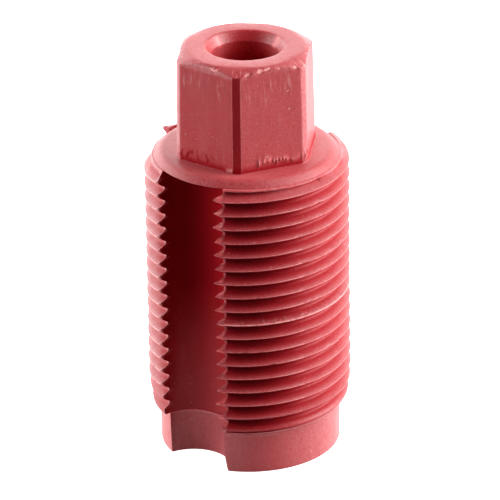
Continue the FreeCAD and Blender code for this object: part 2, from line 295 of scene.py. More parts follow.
def fluted_shell(rows, radius_at, flute_radius, shift_at, clamp, flash_at, end_column=False):
    """The outside of a fluted piece as points[row, column].

    radius_at(azimuth, z, ended) is the land's radius. shift_at(azimuth) lifts each column so that rows
    follow the thread. clamp(azimuth, z, ended) keeps z in the piece. flash_at(side, land, proud, z) gives the
    reach and the lift of the thin flash that hangs from a lip into the flute. side is 1 at the lip where a
    land starts, and -1 at the lip where it ends.
    """
    columns = []
    crest_half = lip_half_angle(CREST_RADIUS, flute_radius)
    for land, (first_flute, next_flute) in enumerate(((-180.0, 0.0), (0.0, 180.0))):
        start = first_flute + FLUTE_AZIMUTH + crest_half
        end = next_flute + FLUTE_AZIMUTH - crest_half
        land_points = []
        for azimuth, ended in land_azimuths(start, end, end_column):
            z = clamp(azimuth, rows + shift_at(azimuth), ended)
            radius = radius_at(azimuth, z, ended)
            near_start = max(0.0, 1.0 - (azimuth - start) / LIP_REACH)
            near_end = max(0.0, 1.0 - (end - azimuth) / LIP_REACH)
            spread = lip_half_angle(radius, flute_radius) - crest_half
            at = azimuth + spread * (near_start - near_end)
            land_points.append((radius_at(at, z, ended), at, z))
        tips = []
        for side, (radius, at, z) in ((1, land_points[0]), (-1, land_points[-1])):
            proud = rise(radius, ROOT_RADIUS, CREST_RADIUS - ROOT_RADIUS)
            reach, lift = flash_at(side, land, proud, z)
            tips.append(polar(radius - 0.10 * reach, at - side * np.degrees(reach / radius), z + lift))
        columns += [tips[0], *(polar(*p) for p in land_points), tips[1]]
        # the wall of the flute after this land, up to the first lip of the next land
        flute = next_flute + FLUTE_AZIMUTH
        next_start = flute + crest_half
        if next_start > 180.0:
            next_start -= 360.0
        z_a = clamp(end, rows + shift_at(end), False)
        z_b = clamp(next_start, rows + shift_at(next_start), False)
        inset = LIP_THICKNESS / flute_radius
        theta_a = -(lip_theta(land_points[-1][0], flute_radius) - inset)
        theta_b = lip_theta(radius_at(next_start, z_b, False), flute_radius) - inset
        for t in np.linspace(0.0, 1.0, WALL_COLUMNS):
            theta = theta_a + (theta_b - theta_a) * t
            columns.append(flute_point(theta, flute_radius, flute, z_a + (z_b - z_a) * t))
    return np.stack(columns, axis=1)


# ---- threaded body ----
# the height that the top turn's crest would have at azimuth 0
TOP_CREST = THREAD_END_Z - PITCH * THREAD_END_AZIMUTH / 360.0
FLANK_SLOPE = 1.0 / math.tan(math.radians(30.0))
TURNS = range(-20, 2)
ROW_PHASES = (-0.43, -0.37, -0.30, -0.16, -0.045, -0.014, 0.014, 0.045, 0.16, 0.30, 0.37, 0.43, 0.5)
# small knocks in the crests: azimuth, turn, width and depth
NICKS = [
    (rng.uniform(-156, 156), rng.integers(-19, 1), rng.uniform(0.5, 2.2), rng.uniform(0.015, 0.07))
    for _ in range(150)
]
# how high the plastic is thrown up at the end of the top turn, by the degrees before its end
HOOK_DEGREES = (-0.01, 1.0, 2.0, 6.0, 13.0)
HOOK_LIFTS = (0.24, 0.33, 0.36, 0.24, 0.0)
# how high the far lip of the right-hand land is curled up, by its azimuth
CURL_AZIMUTHS = (136.0, 149.0, 158.0, 161.0, 161.1)
CURL_LIFTS = (0.0, 0.14, 0.18, 0.15, 0.0)
# the azimuth just inside the front flute's left lip, and one well inside that flute
LEFT_LIP_INSIDE = -21.0
WELL_INSIDE = -10.0
# how ragged the flash is, by land, side and turn, and then by row
FLASH_TURNS = 40
FLASH = rng.uniform(0.0, 1.0, (2, 2, FLASH_TURNS, 2))
TATTER = rng.uniform(-1.0, 1.0, 400)


def thread_rise(azimuth):
    """How far the right-handed thread climbs to an azimuth."""
    return PITCH * azimuth / 360.0


def crest_level(azimuth):
    return TOP_CREST + thread_rise(azimuth)


def turn_phase(azimuth, z, ended):
    """The signed distance from the nearest crest, and its turn. The top turn ends at its end face."""
    lead = z - crest_level(azimuth)
    turn = np.rint(lead / PITCH)
    last = np.where((azimuth <= THREAD_END_AZIMUTH + 1e-6) & (not ended), 0, -1)
    turn = np.minimum(turn, last)
    return lead - turn * PITCH, turn


def nicked_crest(azimuth, turn, z):
    """The crests' radius, less the nicks in them."""
    crest = np.full_like(z, CREST_RADIUS)
    for nick_azimuth, nick_turn, width, depth in NICKS:
        gap = (azimuth - nick_azimuth) / width
        if np.min(np.abs(gap)) < 3.0:
            crest -= np.where(turn == nick_turn, depth * np.exp(-gap * gap), 0.0)
    return crest


def root_at(azimuth, phase, z):
    """The radius between the turns, and whether it belongs to the land at the top."""
    root = ROOT_RADIUS + rise(z, TOP_LAND_BASE - 0.08, 0.08) * (TOP_LAND_RADIUS - ROOT_RADIUS)
    # at the front flute's left lip the grooves slope in to a point, and the one under the collar is filled
    beside = rise(azimuth, -36.0, 10.0) * (azimuth < WELL_INSIDE)
    root = root - 0.07 * beside * rise(np.mod(phase, PITCH), 0.30, 0.28)
    filled = rise(azimuth, -66.0, 26.0) * (azimuth < WELL_INSIDE)
    second_crest = crest_level(azimuth) - PITCH
    ramp = CREST_RADIUS - 0.55 * rise(z, second_crest, COLLAR_BASE - second_crest)
    root = np.where((z > second_crest) & (filled > 0.0), root + np.maximum(ramp - root, 0.0) * filled, root)
    return root, root > TOP_LAND_RADIUS - 0.01


def thread_radius(azimuth, z, ended):
    phase, turn = turn_phase(azimuth, z, ended)
    ridge = SHARP_CREST_RADIUS - np.abs(phase) * FLANK_SLOPE
    radius = smooth_min(ridge, nicked_crest(azimuth, turn, z), 0.02)
    root, on_top_land = root_at(azimuth, phase, z)
    radius = smooth_max(radius, root, 0.012)
    # the ledge beside the collar has a rounded rim
    radius = radius - 0.09 * rise(z, COLLAR_BASE - 0.07, 0.07) ** 2 * on_top_land
    # the lead-in cone at the nose
    cone_slope = (CREST_RADIUS + 0.02 - LEAD_IN_RADIUS) / LEAD_IN_HEIGHT
    return np.minimum(radius, LEAD_IN_RADIUS + (z - BODY_BASE) * cone_slope)


def thread_top(azimuth, ended):
    """The height where the surface turns in under the collar, or beside it where the top turn is proud."""
    if azimuth > THREAD_END_AZIMUTH or ended:
        return COLLAR_BASE
    rim = COLLAR_RADIUS + RIM_GAP
    return max(COLLAR_BASE, crest_level(azimuth) + (SHARP_CREST_RADIUS - rim) / FLANK_SLOPE)


def body_clamp(azimuth, z, ended):
    return np.clip(z, BODY_BASE, thread_top(azimuth, ended))


def body_flash(side, land, proud, z):
    index = np.clip(np.rint(z).astype(int), 0, FLASH_TURNS - 1)
    pick = FLASH[land, (side + 1) // 2]
    fade = fall(z, COLLAR_BASE - 0.15, 0.3) * rise(z, BODY_BASE, 0.3)
    if side > 0:
        ragged = rise(z, 12.0, 8.0)
        tatter = TATTER[:len(z)] * (0.35 + 0.65 * ragged)
        reach = 0.10 + 0.34 * proud ** 1.2 * (0.85 + 0.3 * pick[index, 0]) + 0.055 * tatter
        lift = 0.16 * proud * (0.15 + ragged * pick[index, 1]) + 0.03 * tatter
    else:
        reach = 0.012 + 0.13 * proud ** 6 * (0.6 + 0.8 * pick[index, 0])
        lift = 0.08 * proud ** 4
    return reach * fade + 0.004, lift * fade


def throw_up_plastic(points):
    """Lifts the plastic thrown up at the end of the top turn and along two of the flutes' lips."""
    radius, azimuth = around(points)
    z = points[..., 2]
    # the hook where the top turn ends
    on_turn = azimuth <= THREAD_END_AZIMUTH + 0.01
    before_end = THREAD_END_AZIMUTH - azimuth
    hooked = rise(radius, ROOT_RADIUS, 0.45) * rise(z, COLLAR_BASE - 0.75, 0.35)
    z += hooked * np.interp(before_end, HOOK_DEGREES, HOOK_LIFTS) * on_turn
    push_out(points, -0.14 * hooked * fall(before_end, 1.2, 1.2) * on_turn)
    # the turns' ends curl up like beaks at the front flute's left lip
    ridge = rise(radius, ROOT_RADIUS, CREST_RADIUS - ROOT_RADIUS)
    left_lip = azimuth < LEFT_LIP_INSIDE
    z += 0.24 * rise(azimuth, -25.2, 2.0) ** 1.5 * left_lip * (z < COLLAR_BASE - 0.5) * ridge ** 4
    # and the whole lip rides up a little
    inside = fall(z, COLLAR_BASE - 0.1, 0.8) * rise(z, BODY_BASE, 0.8)
    z += 0.11 * inside * rise(azimuth, -38.0, 12.0) * left_lip
    # the curl at the far lip of the right-hand land
    curl = np.interp(azimuth, CURL_AZIMUTHS, CURL_LIFTS)
    z += curl * rise(z, 20.45, 0.3) * rise(radius, 6.33, 0.1)
    return points


def build_body():
    rows = np.array([TOP_CREST + turn * PITCH + phase for turn in TURNS for phase in ROW_PHASES])
    points = fluted_shell(
        rows, thread_radius, FLUTE_RADIUS, thread_rise, body_clamp, body_flash, end_column=True
    )
    z = points[..., 2]
    z += 0.014 * rough(points, 0.9, 3.0) * rise(z, BODY_BASE, 0.3) * (z < COLLAR_BASE - 0.3)
    points = throw_up_plastic(points)
    # beside the collar, the top turn's inner wall drops to the flat top face
    rim = points[-1].copy()
    radius = np.hypot(rim[:, 0], rim[:, 1])
    inner = np.minimum(radius, COLLAR_RADIUS + RIM_GAP)
    rim[:, :2] *= (inner / radius)[:, None]
    wall = rim.copy()
    wall[:, 2] = COLLAR_BASE
    points = np.concatenate([points, rim[None], wall[None]])
    bm = bmesh.new()
    add_grid(bm, points)
    merge(bm)
    add_turned(bm, [(CHAMBER_RADIUS, z) for z in np.linspace(BODY_BASE, COLLAR_BASE, 7)])
    add_dowel_holes(bm, CAP_DOWEL_OFFSET, COLLAR_BASE, CAP_DOWEL_BASE)
    add_dowel_holes(bm, NOSE_DOWEL_OFFSET, BODY_BASE, NOSE_DOWEL_TOP)
    fill_level(bm, BODY_BASE)
    fill_level(bm, COLLAR_BASE)
    return bm


# ---- nose ring ----
NOSE_ROWS = (0.0, 0.03, 0.09, 0.3, 0.6, 0.9, 1.2, 1.5, 1.8, 2.1, 2.4, 2.52, 2.62, 2.68, 2.74, 2.8, 2.94, 3.0)
NOSE_EDGE = 0.06


def nose_radius(azimuth, z, ended):
    return NOSE_RADIUS - 0.05 * fall(z, NOSE_EDGE, NOSE_EDGE) ** 2


def nose_flash(side, land, proud, z):
    if side > 0:
        reach = 0.26 * rise(z, NOSE_BASE, 1.3) ** 0.7
    else:
        reach = np.full_like(z, 0.01)
    return reach + 0.004, 0.0 * z


def build_nose():
    points = fluted_shell(
        np.array(NOSE_ROWS), nose_radius, NOSE_FLUTE_RADIUS, lambda azimuth: 0.0, lambda azimuth, z, ended: z,
        nose_flash,
    )
    # the front flute's left edge leans outward towards the thread
    radius, azimuth = around(points)
    z = points[..., 2]
    lean = -1.7 * rise(z, 0.0, BODY_BASE) * hump(azimuth, -22.0, 9.0)
    bm = bmesh.new()
    add_grid(bm, polar(radius, azimuth + lean, z))
    merge(bm)
    add_turned(bm, [
        (INLET_MOUTH_RADIUS, NOSE_BASE), (INLET_RADIUS, INLET_MOUTH_DEPTH), (INLET_RADIUS, TUBE_SEAT_BASE),
        (TUBE_SEAT_RADIUS, TUBE_SEAT_BASE), (TUBE_SEAT_RADIUS, HUB_TOP), (CHAMBER_RADIUS, HUB_TOP),
        (CHAMBER_RADIUS, BODY_BASE),
    ])
    add_dowel_holes(bm, NOSE_DOWEL_OFFSET, BODY_BASE, NOSE_DOWEL_BASE)
    fill_level(bm, NOSE_BASE)
    fill_level(bm, BODY_BASE)
    return bm


# ---- hex cap ----
HEX_APOTHEM = 4.43
HEX_CORNER = 4.965
HEX_TOP_RADIUS = 4.08
HEX_DRAFT = math.tan(math.radians(0.95))
CHAMFER_SLOPE = math.tan(math.radians(30.0))
HALF_FACE = (*np.linspace(0.0, 24.0, 17), 25.0, 25.8, 26.3, 26.7, 27.0, 27.5, 28.2, 29.1, 30.0)

OUTLET_RADIUS = 2.25
COUNTERSINK_RADIUS = 2.68
COUNTERSINK_BASE = 28.28
OUTLET_FLOOR = 22.6
EXHAUST_RADIUS = 1.7
POCKET_RADIUS = 2.45
POCKET_TOP = 22.0
GROOVE_RADIUS = 2.65
GROOVE_TOP = 19.7
GROOVE_BASE = 19.2
# radius and height of each corner, from the countersink down to the collar's underside
CAP_INSIDE = (
    (OUTLET_RADIUS, 26.4), (OUTLET_RADIUS, 24.5), (OUTLET_RADIUS, OUTLET_FLOOR),
    (EXHAUST_RADIUS, OUTLET_FLOOR), (EXHAUST_RADIUS, POCKET_TOP), (POCKET_RADIUS, POCKET_TOP),
    (POCKET_RADIUS, GROOVE_TOP), (GROOVE_RADIUS, GROOVE_TOP), (GROOVE_RADIUS, GROOVE_BASE),
    (POCKET_RADIUS, GROOVE_BASE), (POCKET_RADIUS, CAP_BASE), (CHAMBER_RADIUS, CAP_BASE),
    (CHAMBER_RADIUS, COLLAR_BASE),
)

# torn teeth in the foot of the face right of the front corner: azimuth, level, width and height of each
TOOTH_AZIMUTHS = np.arange(49.0, 94.0, 3.1)
PICKS = [
    (
        azimuth + rng.uniform(-0.8, 0.8), COLLAR_TOP + rng.uniform(0.48, 0.80), rng.uniform(0.7, 1.3),
        rng.uniform(0.16, 0.30),
    )
    for azimuth in TOOTH_AZIMUTHS
]
# and a double nick beside the front corner
PICKS += [(25.6, COLLAR_TOP + 0.18, 1.6, 0.13), (22.5, COLLAR_TOP + 0.14, 1.6, 0.10)]


def hex_azimuths():
    face = [-a for a in reversed(HALF_FACE[1:-1])] + list(HALF_FACE)
    return np.array([60.0 * k + a for k in range(6) for a in face])


def from_face_middle(azimuth):
    """Degrees from the middle of the nearest face of the hexagon."""
    return azimuth - 60.0 * np.rint(azimuth / 60.0)


def hex_radius(azimuth, z):
    shrink = (z - COLLAR_TOP) * HEX_DRAFT
    flat = (HEX_APOTHEM - shrink) / np.cos(np.radians(from_face_middle(azimuth)))
    return smooth_min(flat, HEX_CORNER - shrink, 0.02)


def rounded(line, steps=4):
    """A line through (radius, height, rounding) corners, rounded off, as a fixed number of points."""
    out = []
    points = [np.array(corner[:2], float) for corner in line]
    for index, point in enumerate(points):
        rounding = line[index][2]
        if rounding <= 0.0:
            out.append(point)
            continue
        before, after = points[index - 1] - point, points[index + 1] - point
        len_a, len_b = np.linalg.norm(before), np.linalg.norm(after)
        before, after = before / len_a, after / len_b
        turning = math.pi - math.acos(np.clip(before @ after, -1.0, 1.0))
        tangent = min(rounding * math.tan(turning / 2.0), 0.45 * len_a, 0.45 * len_b)
        a, b = point + before * tangent, point + after * tangent
        for t in np.linspace(0.0, 1.0, steps + 1):
            out.append((1 - t) ** 2 * a + 2 * t * (1 - t) * point + t * t * b)
    return np.array(out)


def cap_column(azimuth):
    """The cap's whole profile at an azimuth, from the collar's lower edge over the top to its underside."""
    foot = float(hex_radius(azimuth, COLLAR_TOP))
    chamfer_z = TOP
    for _ in range(4):
        wall = float(hex_radius(azimuth, chamfer_z))
        chamfer_z = TOP - (wall - HEX_TOP_RADIUS) * CHAMFER_SLOPE
    low, high = COLLAR_TOP + 0.12, chamfer_z - 0.16
    # closer rows at the foot and at the top, where the dents are
    wall_z = np.concatenate([
        np.linspace(low, low + 1.2, 12),
        np.linspace(low + 1.5, high - 0.8, 12),
        np.linspace(high - 0.6, high, 6),
    ])
    return rounded([
        (COLLAR_RADIUS, COLLAR_BASE, 0.0),
        (COLLAR_RADIUS, COLLAR_TOP - COLLAR_BEVEL, 0.14),
        (COLLAR_RADIUS - COLLAR_BEVEL, COLLAR_TOP, 0.75),
        (foot, COLLAR_TOP, 0.07),
        *((float(hex_radius(azimuth, z)), z, 0.0) for z in wall_z),
        (wall, chamfer_z, 0.20),
        (HEX_TOP_RADIUS, TOP, 1.7),
        (COUNTERSINK_RADIUS, TOP, 0.30),
        (OUTLET_RADIUS, COUNTERSINK_BASE, 0.10),
        *((radius, z, 0.0) for radius, z in CAP_INSIDE),
    ])


def pick_marks(azimuth, z):
    """Little torn teeth along the foot of one face of the hexagon, and a nick beside its front corner."""
    marks = np.zeros(np.shape(z))
    for at, level, wide, tall in PICKS:
        marks = np.maximum(marks, hump(azimuth, at, wide) * hump(z, level, tall))
    return marks


def rim_dents(points, radius, azimuth):
    """Dents knocked into the edge where the head's chamfer meets its faces."""
    reach = np.minimum(HEX_APOTHEM / np.cos(np.radians(from_face_middle(azimuth))), HEX_CORNER) - 0.1
    edge_z = TOP - (reach - HEX_TOP_RADIUS) * CHAMFER_SLOPE
    near = tent(points[..., 2], edge_z, 0.38) * (radius > 4.0)
    return near * np.clip(rough(points, 2.6, 21.0) * 3.0 - 0.5, 0.0, 1.0)


def build_cap():
    columns = []
    for azimuth in hex_azimuths():
        profile = cap_column(azimuth)
        columns.append(polar(profile[:, 0], azimuth, profile[:, 1]))
    points = np.stack(columns, axis=1)
    radius, azimuth = around(points)
    z = points[..., 2]
    outside = (radius > 3.95) & (z > COLLAR_TOP + 0.1)
    uneven = 0.010 * rough(points, 1.1) + 0.006 * rough(points, 4.0, 7.0)
    dents = 0.065 * rim_dents(points, radius, azimuth)
    push_out(points, np.where(outside, uneven - dents + 0.11 * pick_marks(azimuth, z), 0.0))
    bm = bmesh.new()
    add_grid(bm, points)
    add_dowel_holes(bm, CAP_DOWEL_OFFSET, COLLAR_BASE, CAP_DOWEL_TOP)
    fill_level(bm, COLLAR_BASE)
    return bm


# ---- soft inner pieces ----
LUMP_STEP = 0.16


def lumpy_ring(node_name, inner_radius, grain, depth):
    """A turned piece with the granular surface of felt or beads, sunk inward from the CAD's own faces."""
    low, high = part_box(node_name)
    bottom, top, outer = low[2] / MM, high[2] / MM, high[0] / MM
    middle = 0.5 * (bottom + top)
    wall = np.linspace(bottom, top, max(2, int((top - bottom) / LUMP_STEP)) + 1)
    face = np.linspace(inner_radius, outer, max(2, int((outer - inner_radius) / LUMP_STEP)) + 1)
    profile = [(r, bottom) for r in face] + [(outer, z) for z in wall[1:-1]] + [(r, top) for r in face[::-1]]
    hollow = inner_radius > 0.01
    if hollow:
        profile += [(inner_radius, z) for z in wall[::-1]]
    rings = []
    for radius, z in profile:
        ring = circle_points(radius, z, 120)
        lumps = 0.5 + 0.6 * rough(ring, grain, 5.0) + 0.4 * rough(ring, 2.3 * grain, 9.0)
        sunk = depth * np.clip(lumps, 0.0, 1.0)
        if radius > outer - 0.01:
            push_out(ring, -sunk)
        elif hollow and radius < inner_radius + 0.01:
            push_out(ring, sunk)
        if z in (bottom, top):
            ring[:, 2] += np.sign(middle - z) * sunk
        rings.append(ring)
    bm = bmesh.new()
    add_grid(bm, np.stack(rings))
    merge(bm, 2e-3)
    return bm


# ---- materials ----
RED_A = (0.44, 0.006, 0.013, 1)
RED_B = (0.50, 0.010, 0.018, 1)
HAZE_AND_SHEEN = (0.58, 0.17, 0.18, 1)
TORN_AND_HIGHLIGHT = (0.80, 0.40, 0.38, 1)
RUBBED = (0.66, 0.25, 0.25, 1)
PALE_SCRATCH = (0.80, 0.36, 0.35, 1)
DARK_SCRATCH = (0.26, 0.010, 0.014, 1)
DARK_GRAIN = (0.28, 0.010, 0.016, 1)
SPECK = (0.80, 0.46, 0.44, 1)
DIRT_AND_SHADE = (0.13, 0.002, 0.005, 1)
PAINTED_GLOW = (1.0, 0.13, 0.14, 1.0)
WHITE = (1.0, 1.0, 1.0, 1.0)


def nodes_of(name):
    material = bpy.data.materials.new(name)
    material.use_nodes = True
    tree = material.node_tree
    return material, tree, tree.nodes["Principled BSDF"]


def node(tree, kind, **settings):
    made = tree.nodes.new(kind)
    for key, value in settings.items():
        if key in made.inputs:
            made.inputs[key].default_value = value
        else:
            setattr(made, key, value)
    return made


def object_place(tree):
    return node(tree, "ShaderNodeTexCoord").outputs["Object"]


def noise_at(tree, source, scale, detail=4.0, roughness=0.55, stretch=(1.0, 1.0, 1.0)):
    mapping = node(tree, "ShaderNodeMapping", Scale=stretch)
    tree.links.new(source, mapping.inputs["Vector"])
    made = node(tree, "ShaderNodeTexNoise", Scale=scale, Detail=detail, Roughness=roughness)
    tree.links.new(mapping.outputs["Vector"], made.inputs["Vector"])
    return made.outputs["Fac"]


def remap(tree, value, low, high, to_low=0.0, to_high=1.0):
    made = node(tree, "ShaderNodeMapRange", clamp=True)
    for name, amount in (("From Min", low), ("From Max", high), ("To Min", to_low), ("To Max", to_high)):
        made.inputs[name].default_value = amount
    tree.links.new(value, made.inputs["Value"])
    return made.outputs["Result"]


def combine(tree, operation, first, *others):
    """One value from several, each a socket or a number, joined one after another by the same operation."""
    for other in others:
        made = node(tree, "ShaderNodeMath", operation=operation)
        for socket, value in zip(made.inputs, (first, other)):
            if isinstance(value, (int, float)):
                socket.default_value = value
            else:
                tree.links.new(value, socket)
        first = made.outputs[0]
    return first


def mix_colour(tree, factor, a, b):
    made = node(tree, "ShaderNodeMix", data_type="RGBA")
    sockets = [s for s in made.inputs if s.type == "RGBA"]
    tree.links.new(factor, made.inputs[0])
    for socket, value in zip(sockets, (a, b)):
        if isinstance(value, tuple):
            socket.default_value = value
        else:
            tree.links.new(value, socket)
    return [s for s in made.outputs if s.type == "RGBA"][0]


def speck_mask(tree, place, cells, least):
    """Small uneven spots, one in some of the cells: those whose own random number is above the least one."""
    spots = node(tree, "ShaderNodeTexVoronoi", Scale=cells)
    wobble = node(tree, "ShaderNodeVectorMath", operation="MULTIPLY_ADD")
    ripple = node(tree, "ShaderNodeTexNoise", Scale=cells * 4.0, Detail=2.0)
    tree.links.new(place, ripple.inputs["Vector"])
    tree.links.new(ripple.outputs["Color"], wobble.inputs[0])
    wobble.inputs[1].default_value = (0.25 / cells,) * 3
    tree.links.new(place, wobble.inputs[2])
    tree.links.new(wobble.outputs["Vector"], spots.inputs["Vector"])
    parts = node(tree, "ShaderNodeSeparateColor")
    tree.links.new(spots.outputs["Color"], parts.inputs[0])
    size = remap(tree, parts.outputs[1], 0.0, 1.0, 0.03, 0.13)
    inside = combine(tree, "LESS_THAN", spots.outputs["Distance"], size)
    picked = combine(tree, "GREATER_THAN", parts.outputs[0], least)
    return combine(tree, "MULTIPLY", inside, picked)


def casing_plastic():
    """Satin moulded plastic: mottled, speckled, pale where worn and where highlights are painted, scratched if
    scuffed, dark where dirty and where shade is painted, with a painted glow in the palest places.
    """
    material, tree, shader = nodes_of("casing_plastic")
    place = object_place(tree)
    worn_and_highlit, scuffed, dirt_and_shade = (
        node(tree, "ShaderNodeAttribute", attribute_name=name).outputs["Fac"]
        for name in ("wear_and_highlight", "scuff", "grime_and_shade")
    )
    mottle = noise_at(tree, place, 260.0, 5.0, 0.6)
    streak = noise_at(tree, place, 1500.0, 5.0, 0.6, (1.0, 1.0, 0.14))
    scratch = noise_at(tree, place, 4200.0, 3.0, 0.6, (1.0, 1.0, 0.16))
    grain = noise_at(tree, place, 6200.0, 3.0, 0.6)
    blotch = noise_at(tree, place, 1900.0, 4.0, 0.65)

    def times(*values):
        return combine(tree, "MULTIPLY", *values)

    def cover(under, colour, *amounts):
        return mix_colour(tree, times(*amounts), under, colour)

    base = mix_colour(tree, remap(tree, mottle, 0.3, 0.7), RED_A, RED_B)
    # handled surfaces go pale, and the painted sheen and highlights are pale too; palest of all where torn
    haze_and_sheen = combine(tree, "ADD", times(worn_and_highlit, 0.84), times(combine(tree, "POWER", worn_and_highlit, 3.0), 0.6))
    uneven = times(remap(tree, grain, 0.3, 0.7, 0.34, 1.18), remap(tree, blotch, 0.3, 0.7, 0.68, 1.18))
    base = cover(base, HAZE_AND_SHEEN, haze_and_sheen, uneven, 0.5)
    base = cover(base, TORN_AND_HIGHLIGHT, remap(tree, worn_and_highlit, 0.93, 1.0), remap(tree, grain, 0.3, 0.7, 0.6, 1.0))
    base = cover(base, RUBBED, remap(tree, streak, 0.58, 0.76), worn_and_highlit, 0.16)
    # scratches: pale and dark hairlines along the axis
    base = cover(base, PALE_SCRATCH, remap(tree, scratch, 0.56, 0.68), scuffed, 0.55)
    base = cover(base, DARK_SCRATCH, remap(tree, scratch, 0.46, 0.36), scuffed, 0.45)
    base = cover(base, DARK_GRAIN, remap(tree, grain, 0.48, 0.30, 0.0, 0.30))
    for cells, least, strength in ((3000.0, 0.60, 0.30), (1300.0, 0.78, 0.38)):
        speck = speck_mask(tree, place, cells, least)
        base = cover(base, SPECK, speck, strength, remap(tree, worn_and_highlit, 0.0, 0.3, 0.25, 1.0))
    # dirt and painted shade darken the thread's roots and undersides, the hole, the foot of the head and the
    # flutes high up
    base = cover(base, DIRT_AND_SHADE, dirt_and_shade, remap(tree, blotch, 0.25, 0.7, 0.8, 1.0))
    tree.links.new(base, shader.inputs["Base Color"])
    # painted light: the palest places glow faintly though they are no lamp: the thin torn flash, the most worn
    # faces and the painted highlights
    shader.inputs["Emission Color"].default_value = PAINTED_GLOW
    tree.links.new(remap(tree, worn_and_highlit, 0.85, 0.90, 0.0, 0.17), shader.inputs["Emission Strength"])
    tree.links.new(remap(tree, streak, 0.3, 0.75, 0.50, 0.40), shader.inputs["Roughness"])
    # dirt and painted shade are dull
    polish = combine(tree, "SUBTRACT", worn_and_highlit, times(dirt_and_shade, 0.9))
    tree.links.new(remap(tree, polish, -0.1, 0.5, 0.02, 0.62), shader.inputs["Specular IOR Level"])
    tree.links.new(remap(tree, polish, 0.0, 1.0, 0.0, 0.45), shader.inputs["Sheen Weight"])
    shader.inputs["Sheen Roughness"].default_value = 0.35
    shader.inputs["IOR"].default_value = 1.5
    height = combine(
        tree, "ADD", grain, times(mottle, 1.6), times(streak, 0.8), times(blotch, 1.2),
        times(scratch, scuffed, 3.0),
    )
    bump = node(tree, "ShaderNodeBump", Strength=0.45, Distance=0.00003)
    tree.links.new(height, bump.inputs["Height"])
    tree.links.new(bump.outputs["Normal"], shader.inputs["Normal"])
    return material


def plain_material(
    name, colours, scale, roughness, bump=(0.2, 0.00002), metallic=0.0, stretch=(1.0, 1.0, 1.0)
):
    """A noise pattern between two colours and two roughnesses. bump is its strength and height in metres."""
    material, tree, shader = nodes_of(name)
    pattern = noise_at(tree, object_place(tree), scale, 6.0, 0.62, stretch)
    base = mix_colour(tree, remap(tree, pattern, 0.32, 0.68), *colours)
    tree.links.new(base, shader.inputs["Base Color"])
    tree.links.new(remap(tree, pattern, 0.3, 0.7, *roughness), shader.inputs["Roughness"])
    relief = node(tree, "ShaderNodeBump", Strength=bump[0], Distance=bump[1])
    tree.links.new(pattern, relief.inputs["Height"])
    tree.links.new(relief.outputs["Normal"], shader.inputs["Normal"])
    shader.inputs["Metallic"].default_value = metallic
    return material


casing = casing_plastic()
core = plain_material("core_plastic", ((0.52, 0.49, 0.41, 1), (0.64, 0.61, 0.53, 1)), 600.0, (0.45, 0.6))
porous = plain_material(
    "sintered_plastic", ((0.62, 0.60, 0.52, 1), (0.80, 0.78, 0.72, 1)), 3200.0, (0.8, 0.95), (0.9, 0.00008)
)
felt = plain_material(
    "pressed_felt", ((0.42, 0.39, 0.32, 1), (0.60, 0.57, 0.49, 1)), 2600.0, (0.9, 1.0), (0.9, 0.0001)
)
screen = plain_material(
    "punched_steel", ((0.26, 0.26, 0.26, 1), (0.38, 0.38, 0.38, 1)), 1500.0, (0.28, 0.45), (0.2, 0.00001),
    1.0, (1.0, 0.08, 1.0),
)
steel = plain_material(
    "plain_steel", ((0.22, 0.22, 0.23, 1), (0.34, 0.34, 0.36, 1)), 1200.0, (0.25, 0.4), (0.2, 0.00001), 1.0
)


# ---- wear and painted highlights, scuff, grime and painted shade at each point, by where it lies on the part ----
# Some of it follows the photo's light and shade and not real wear: the sides of the countersink, the hole's far
# wall, the front of the collar and of the nose, the face left of the front corner, and how dark and how pale the
# turns are from one azimuth to the next. It is fixed to the part, so it stays in place from every side.
def in_flash(points, radius):
    """The thin flash that hangs inside a flute's circle."""
    return (flute_distance(points) < FLUTE_RADIUS - 0.03) & (radius > 5.0)


def thread_wear_and_highlight(radius, azimuth, z, band):
    lead = z - crest_level(azimuth)
    upper_flank = rise(lead - np.rint(lead), -0.04, 0.04)
    crest = rise(radius, 6.86, 0.07) * upper_flank
    land = rise(radius, 6.50, 0.40) * upper_flank
    # the crests are pale from rubbing and from painted highlights: more on the left land, and a little more at
    # the front
    front_crest = rise(radius, 6.78, 0.10) * upper_flank * between(azimuth, 0.0, 70.0)
    crest_rub_and_highlight = np.where(azimuth < 0.0, 0.74, 0.40)
    wear_and_highlight = 0.18 + 0.22 * land + crest_rub_and_highlight * crest + 0.16 * front_crest + 0.34 * band * land
    # a painted highlight on the last flank under the collar of the right-hand land
    last_flank = (azimuth > 0.0) & (lead > -PITCH - 0.01) & (z < TOP_LAND_BASE - 0.1)
    wear_and_highlight = np.where(last_flank, np.maximum(wear_and_highlight, 0.52), wear_and_highlight)
    # painted light: the lands grow paler further to the right
    wear_and_highlight += 0.19 * rise(azimuth, 50.0, 30.0) * land
    # painted highlights, with a faint painted glow, on the ledge beside the collar, and painted light on the
    # edge above the nose, lifting the shadow under the lowest turn
    wear_and_highlight = np.where((z > TOP_LAND_BASE - 0.05) & (radius > 6.2), 0.88, wear_and_highlight)
    wear_and_highlight = np.maximum(wear_and_highlight, 0.87 * fall(z, BODY_BASE + 0.30, 0.2) * (radius > 6.2))
    return wear_and_highlight, crest


# how much painted shade the turns get, by azimuth
SHADE_AZIMUTHS = (-180.0, -25.0, 15.0, 42.0, 58.0, 75.0, 180.0)
SHADE_AMOUNTS = (0.1, 0.1, 1.0, 0.80, 0.38, 0.05, 0.1)


def thread_painted_shade(azimuth, z):
    """Painted shade on the turns' undersides and roots, most of it right of the front flute, and a dark spot at
    one pit.
    """
    lead = z - crest_level(azimuth)
    phase = lead - np.rint(lead)
    under = np.where(phase < -0.02, 1.0, rise(phase, 0.10, 0.38) ** 1.3)
    facing = np.interp(azimuth, SHADE_AZIMUTHS, SHADE_AMOUNTS)
    grime_and_shade = under * facing * (z < TOP_LAND_BASE - 0.1) * rise(z, BODY_BASE + 0.05, 0.5)
    pit = hump(azimuth, 85.8, 1.1) * hump(z, 20.90, 0.09)
    return np.maximum(grime_and_shade, pit)


